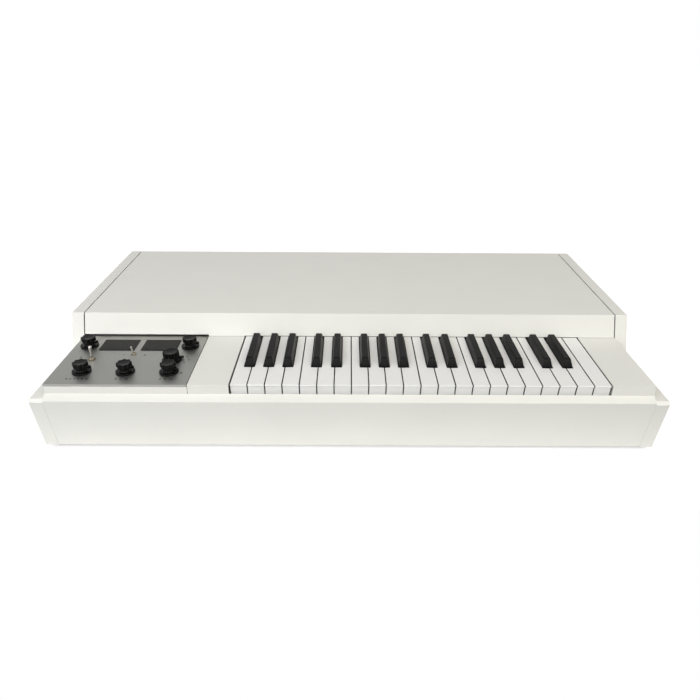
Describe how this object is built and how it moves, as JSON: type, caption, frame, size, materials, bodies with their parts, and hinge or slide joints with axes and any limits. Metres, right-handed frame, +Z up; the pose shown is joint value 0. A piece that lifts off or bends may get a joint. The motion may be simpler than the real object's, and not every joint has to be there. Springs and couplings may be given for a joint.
{
  "type": "sample playback keyboard",
  "caption": "Compact sample playback keyboard in a white painted wooden case: piano keys, a metal control panel with knobs, toggles and two displays, and a sloping flat-topped hood.",
  "frame": {"origin": "on the floor, under the middle of the instrument's outline", "axes": "+X to the treble end, +Y from the player to the back, +Z up"},
  "size_m": [0.8644, 0.4661, 0.1403],
  "materials": {
    "lacquer": "fibreboard with satin white lacquer",
    "fibreboard": "sealed fibreboard",
    "steel": "zinc plated sheet",
    "anodised": "brushed and anodised",
    "natural": "polished white",
    "sharp": "satin black",
    "phenolic": "glossy black",
    "plating": "nickel plated",
    "screen": "dark display behind clear acrylic",
    "laminate": "green circuit board"
  },
  "bodies": {
    "cabinet": {"side_panel_left": "lacquer", "side_panel_right": "lacquer", "hood": "lacquer", "front_rail": "lacquer", "control_box": "lacquer", "cheek_left": "lacquer", "cheek_right": "lacquer", "rear_panel": "lacquer", "base_board": "fibreboard", "key_frame": "steel", "connector_unit": "steel", "control_panel": "anodised", "display_left": "screen", "display_right": "screen", "control_board": "laminate"},
    "white_key_01": {"white_key_01": "natural"},
    "white_key_02": {"white_key_02": "natural"},
    "white_key_03": {"white_key_03": "natural"},
    "white_key_04": {"white_key_04": "natural"},
    "white_key_05": {"white_key_05": "natural"},
    "white_key_06": {"white_key_06": "natural"},
    "white_key_07": {"white_key_07": "natural"},
    "white_key_08": {"white_key_08": "natural"},
    "white_key_09": {"white_key_09": "natural"},
    "white_key_10": {"white_key_10": "natural"},
    "white_key_11": {"white_key_11": "natural"},
    "white_key_12": {"white_key_12": "natural"},
    "white_key_13": {"white_key_13": "natural"},
    "white_key_14": {"white_key_14": "natural"},
    "white_key_15": {"white_key_15": "natural"},
    "white_key_16": {"white_key_16": "natural"},
    "white_key_17": {"white_key_17": "natural"},
    "white_key_18": {"white_key_18": "natural"},
    "white_key_19": {"white_key_19": "natural"},
    "white_key_20": {"white_key_20": "natural"},
    "white_key_21": {"white_key_21": "natural"},
    "white_key_22": {"white_key_22": "natural"},
    "black_key_01": {"black_key_01": "sharp"},
    "black_key_02": {"black_key_02": "sharp"},
    "black_key_03": {"black_key_03": "sharp"},
    "black_key_04": {"black_key_04": "sharp"},
    "black_key_05": {"black_key_05": "sharp"},
    "black_key_06": {"black_key_06": "sharp"},
    "black_key_07": {"black_key_07": "sharp"},
    "black_key_08": {"black_key_08": "sharp"},
    "black_key_09": {"black_key_09": "sharp"},
    "black_key_10": {"black_key_10": "sharp"},
    "black_key_11": {"black_key_11": "sharp"},
    "black_key_12": {"black_key_12": "sharp"},
    "black_key_13": {"black_key_13": "sharp"},
    "black_key_14": {"black_key_14": "sharp"},
    "black_key_15": {"black_key_15": "sharp"},
    "knob_rear_left": {"knob_rear_left": "phenolic"},
    "knob_rear_right": {"knob_rear_right": "phenolic"},
    "knob_front_left": {"knob_front_left": "phenolic"},
    "knob_front_middle": {"knob_front_middle": "phenolic"},
    "knob_front_right": {"knob_front_right": "phenolic"},
    "selector_knob": {"selector_knob": "phenolic"},
    "toggle_lever_large": {"toggle_lever_large": "plating"},
    "toggle_lever_small": {"toggle_lever_small": "plating"}
  },
  "joints": [
    {"name": "white_key_01_pivot", "type": "hinge", "parent": "cabinet", "child": "white_key_01", "pos_m": [-0.1566, -0.02155, 0.0925], "axis": [1, 0, 0], "range_deg": [0, 2.88], "stiffness_Nm_per_rad": 0.8, "springref_deg": -11.46},
    {"name": "white_key_02_pivot", "type": "hinge", "parent": "cabinet", "child": "white_key_02", "pos_m": [-0.12955, -0.02155, 0.0925], "axis": [1, 0, 0], "range_deg": [0, 2.88], "stiffness_Nm_per_rad": 0.8, "springref_deg": -11.46},
    {"name": "white_key_03_pivot", "type": "hinge", "parent": "cabinet", "child": "white_key_03", "pos_m": [-0.10215, -0.02155, 0.0925], "axis": [1, 0, 0], "range_deg": [0, 2.88], "stiffness_Nm_per_rad": 0.8, "springref_deg": -11.46},
    {"name": "white_key_04_pivot", "type": "hinge", "parent": "cabinet", "child": "white_key_04", "pos_m": [-0.0751, -0.02155, 0.0925], "axis": [1, 0, 0], "range_deg": [0, 2.88], "stiffness_Nm_per_rad": 0.8, "springref_deg": -11.46},
    {"name": "white_key_05_pivot", "type": "hinge", "parent": "cabinet", "child": "white_key_05", "pos_m": [-0.06195, -0.02155, 0.0925], "axis": [1, 0, 0], "range_deg": [0, 2.88], "stiffness_Nm_per_rad": 0.8, "springref_deg": -11.46},
    {"name": "white_key_06_pivot", "type": "hinge", "parent": "cabinet", "child": "white_key_06", "pos_m": [-0.0336, -0.02155, 0.0925], "axis": [1, 0, 0], "range_deg": [0, 2.88], "stiffness_Nm_per_rad": 0.8, "springref_deg": -11.46},
    {"name": "white_key_07_pivot", "type": "hinge", "parent": "cabinet", "child": "white_key_07", "pos_m": [-0.00525, -0.02155, 0.0925], "axis": [1, 0, 0], "range_deg": [0, 2.88], "stiffness_Nm_per_rad": 0.8, "springref_deg": -11.46},
    {"name": "white_key_08_pivot", "type": "hinge", "parent": "cabinet", "child": "white_key_08", "pos_m": [0.0079, -0.02155, 0.0925], "axis": [1, 0, 0], "range_deg": [0, 2.88], "stiffness_Nm_per_rad": 0.8, "springref_deg": -11.46},
    {"name": "white_key_09_pivot", "type": "hinge", "parent": "cabinet", "child": "white_key_09", "pos_m": [0.03495, -0.02155, 0.0925], "axis": [1, 0, 0], "range_deg": [0, 2.88], "stiffness_Nm_per_rad": 0.8, "springref_deg": -11.46},
    {"name": "white_key_10_pivot", "type": "hinge", "parent": "cabinet", "child": "white_key_10", "pos_m": [0.06235, -0.02155, 0.0925], "axis": [1, 0, 0], "range_deg": [0, 2.88], "stiffness_Nm_per_rad": 0.8, "springref_deg": -11.46},
    {"name": "white_key_11_pivot", "type": "hinge", "parent": "cabinet", "child": "white_key_11", "pos_m": [0.0894, -0.02155, 0.0925], "axis": [1, 0, 0], "range_deg": [0, 2.88], "stiffness_Nm_per_rad": 0.8, "springref_deg": -11.46},
    {"name": "white_key_12_pivot", "type": "hinge", "parent": "cabinet", "child": "white_key_12", "pos_m": [0.10255, -0.02155, 0.0925], "axis": [1, 0, 0], "range_deg": [0, 2.88], "stiffness_Nm_per_rad": 0.8, "springref_deg": -11.46},
    {"name": "white_key_13_pivot", "type": "hinge", "parent": "cabinet", "child": "white_key_13", "pos_m": [0.1309, -0.02155, 0.0925], "axis": [1, 0, 0], "range_deg": [0, 2.88], "stiffness_Nm_per_rad": 0.8, "springref_deg": -11.46},
    {"name": "white_key_14_pivot", "type": "hinge", "parent": "cabinet", "child": "white_key_14", "pos_m": [0.15925, -0.02155, 0.0925], "axis": [1, 0, 0], "range_deg": [0, 2.88], "stiffness_Nm_per_rad": 0.8, "springref_deg": -11.46},
    {"name": "white_key_15_pivot", "type": "hinge", "parent": "cabinet", "child": "white_key_15", "pos_m": [0.1724, -0.02155, 0.0925], "axis": [1, 0, 0], "range_deg": [0, 2.88], "stiffness_Nm_per_rad": 0.8, "springref_deg": -11.46},
    {"name": "white_key_16_pivot", "type": "hinge", "parent": "cabinet", "child": "white_key_16", "pos_m": [0.19945, -0.02155, 0.0925], "axis": [1, 0, 0], "range_deg": [0, 2.88], "stiffness_Nm_per_rad": 0.8, "springref_deg": -11.46},
    {"name": "white_key_17_pivot", "type": "hinge", "parent": "cabinet", "child": "white_key_17", "pos_m": [0.22685, -0.02155, 0.0925], "axis": [1, 0, 0], "range_deg": [0, 2.88], "stiffness_Nm_per_rad": 0.8, "springref_deg": -11.46},
    {"name": "white_key_18_pivot", "type": "hinge", "parent": "cabinet", "child": "white_key_18", "pos_m": [0.2539, -0.02155, 0.0925], "axis": [1, 0, 0], "range_deg": [0, 2.88], "stiffness_Nm_per_rad": 0.8, "springref_deg": -11.46},
    {"name": "white_key_19_pivot", "type": "hinge", "parent": "cabinet", "child": "white_key_19", "pos_m": [0.26705, -0.02155, 0.0925], "axis": [1, 0, 0], "range_deg": [0, 2.88], "stiffness_Nm_per_rad": 0.8, "springref_deg": -11.46},
    {"name": "white_key_20_pivot", "type": "hinge", "parent": "cabinet", "child": "white_key_20", "pos_m": [0.2954, -0.02155, 0.0925], "axis": [1, 0, 0], "range_deg": [0, 2.88], "stiffness_Nm_per_rad": 0.8, "springref_deg": -11.46},
    {"name": "white_key_21_pivot", "type": "hinge", "parent": "cabinet", "child": "white_key_21", "pos_m": [0.32375, -0.02155, 0.0925], "axis": [1, 0, 0], "range_deg": [0, 2.88], "stiffness_Nm_per_rad": 0.8, "springref_deg": -11.46},
    {"name": "white_key_22_pivot", "type": "hinge", "parent": "cabinet", "child": "white_key_22", "pos_m": [0.3424, -0.02155, 0.0925], "axis": [1, 0, 0], "range_deg": [0, 2.88], "stiffness_Nm_per_rad": 0.8, "springref_deg": -11.46},
    {"name": "black_key_01_pivot", "type": "hinge", "parent": "cabinet", "child": "black_key_01", "pos_m": [-0.14325, -0.02155, 0.0925], "axis": [1, 0, 0], "range_deg": [0, 2.88], "stiffness_Nm_per_rad": 0.8, "springref_deg": -11.46},
    {"name": "black_key_02_pivot", "type": "hinge", "parent": "cabinet", "child": "black_key_02", "pos_m": [-0.11585, -0.02155, 0.0925], "axis": [1, 0, 0], "range_deg": [0, 2.88], "stiffness_Nm_per_rad": 0.8, "springref_deg": -11.46},
    {"name": "black_key_03_pivot", "type": "hinge", "parent": "cabinet", "child": "black_key_03", "pos_m": [-0.08845, -0.02155, 0.0925], "axis": [1, 0, 0], "range_deg": [0, 2.88], "stiffness_Nm_per_rad": 0.8, "springref_deg": -11.46},
    {"name": "black_key_04_pivot", "type": "hinge", "parent": "cabinet", "child": "black_key_04", "pos_m": [-0.04795, -0.02155, 0.0925], "axis": [1, 0, 0], "range_deg": [0, 2.88], "stiffness_Nm_per_rad": 0.8, "springref_deg": -11.46},
    {"name": "black_key_05_pivot", "type": "hinge", "parent": "cabinet", "child": "black_key_05", "pos_m": [-0.01925, -0.02155, 0.0925], "axis": [1, 0, 0], "range_deg": [0, 2.88], "stiffness_Nm_per_rad": 0.8, "springref_deg": -11.46},
    {"name": "black_key_06_pivot", "type": "hinge", "parent": "cabinet", "child": "black_key_06", "pos_m": [0.02125, -0.02155, 0.0925], "axis": [1, 0, 0], "range_deg": [0, 2.88], "stiffness_Nm_per_rad": 0.8, "springref_deg": -11.46},
    {"name": "black_key_07_pivot", "type": "hinge", "parent": "cabinet", "child": "black_key_07", "pos_m": [0.04865, -0.02155, 0.0925], "axis": [1, 0, 0], "range_deg": [0, 2.88], "stiffness_Nm_per_rad": 0.8, "springref_deg": -11.46},
    {"name": "black_key_08_pivot", "type": "hinge", "parent": "cabinet", "child": "black_key_08", "pos_m": [0.07605, -0.02155, 0.0925], "axis": [1, 0, 0], "range_deg": [0, 2.88], "stiffness_Nm_per_rad": 0.8, "springref_deg": -11.46},
    {"name": "black_key_09_pivot", "type": "hinge", "parent": "cabinet", "child": "black_key_09", "pos_m": [0.11655, -0.02155, 0.0925], "axis": [1, 0, 0], "range_deg": [0, 2.88], "stiffness_Nm_per_rad": 0.8, "springref_deg": -11.46},
    {"name": "black_key_10_pivot", "type": "hinge", "parent": "cabinet", "child": "black_key_10", "pos_m": [0.14525, -0.02155, 0.0925], "axis": [1, 0, 0], "range_deg": [0, 2.88], "stiffness_Nm_per_rad": 0.8, "springref_deg": -11.46},
    {"name": "black_key_11_pivot", "type": "hinge", "parent": "cabinet", "child": "black_key_11", "pos_m": [0.18575, -0.02155, 0.0925], "axis": [1, 0, 0], "range_deg": [0, 2.88], "stiffness_Nm_per_rad": 0.8, "springref_deg": -11.46},
    {"name": "black_key_12_pivot", "type": "hinge", "parent": "cabinet", "child": "black_key_12", "pos_m": [0.21315, -0.02155, 0.0925], "axis": [1, 0, 0], "range_deg": [0, 2.88], "stiffness_Nm_per_rad": 0.8, "springref_deg": -11.46},
    {"name": "black_key_13_pivot", "type": "hinge", "parent": "cabinet", "child": "black_key_13", "pos_m": [0.24055, -0.02155, 0.0925], "axis": [1, 0, 0], "range_deg": [0, 2.88], "stiffness_Nm_per_rad": 0.8, "springref_deg": -11.46},
    {"name": "black_key_14_pivot", "type": "hinge", "parent": "cabinet", "child": "black_key_14", "pos_m": [0.28105, -0.02155, 0.0925], "axis": [1, 0, 0], "range_deg": [0, 2.88], "stiffness_Nm_per_rad": 0.8, "springref_deg": -11.46},
    {"name": "black_key_15_pivot", "type": "hinge", "parent": "cabinet", "child": "black_key_15", "pos_m": [0.30975, -0.02155, 0.0925], "axis": [1, 0, 0], "range_deg": [0, 2.88], "stiffness_Nm_per_rad": 0.8, "springref_deg": -11.46},
    {"name": "knob_rear_left_turn", "type": "hinge", "parent": "cabinet", "child": "knob_rear_left", "pos_m": [-0.3922, -0.10955, 0.1075], "axis": [0, 0, 1], "range_deg": [-150, 150]},
    {"name": "knob_rear_right_turn", "type": "hinge", "parent": "cabinet", "child": "knob_rear_right", "pos_m": [-0.2408, -0.10955, 0.1075], "axis": [0, 0, 1], "range_deg": [-150, 150]},
    {"name": "knob_front_left_turn", "type": "hinge", "parent": "cabinet", "child": "knob_front_left", "pos_m": [-0.3741, -0.18675, 0.1075], "axis": [0, 0, 1], "range_deg": [-150, 150]},
    {"name": "knob_front_middle_turn", "type": "hinge", "parent": "cabinet", "child": "knob_front_middle", "pos_m": [-0.3135, -0.18675, 0.1075], "axis": [0, 0, 1], "range_deg": [-150, 150]},
    {"name": "knob_front_right_turn", "type": "hinge", "parent": "cabinet", "child": "knob_front_right", "pos_m": [-0.2529, -0.18675, 0.1075], "axis": [0, 0, 1], "range_deg": [-150, 150]},
    {"name": "selector_knob_turn", "type": "hinge", "parent": "cabinet", "child": "selector_knob", "pos_m": [-0.2575, -0.15295, 0.1075], "axis": [0, 0, 1], "range_deg": [-75, 75]},
    {"name": "toggle_lever_large_throw", "type": "hinge", "parent": "cabinet", "child": "toggle_lever_large", "pos_m": [-0.3741, -0.15105, 0.1092], "axis": [1, 0, 0], "range_deg": [0, 24]},
    {"name": "toggle_lever_small_throw", "type": "hinge", "parent": "cabinet", "child": "toggle_lever_small", "pos_m": [-0.318, -0.13505, 0.1086], "axis": [0, 1, 0], "range_deg": [0, 24]}
  ]
}
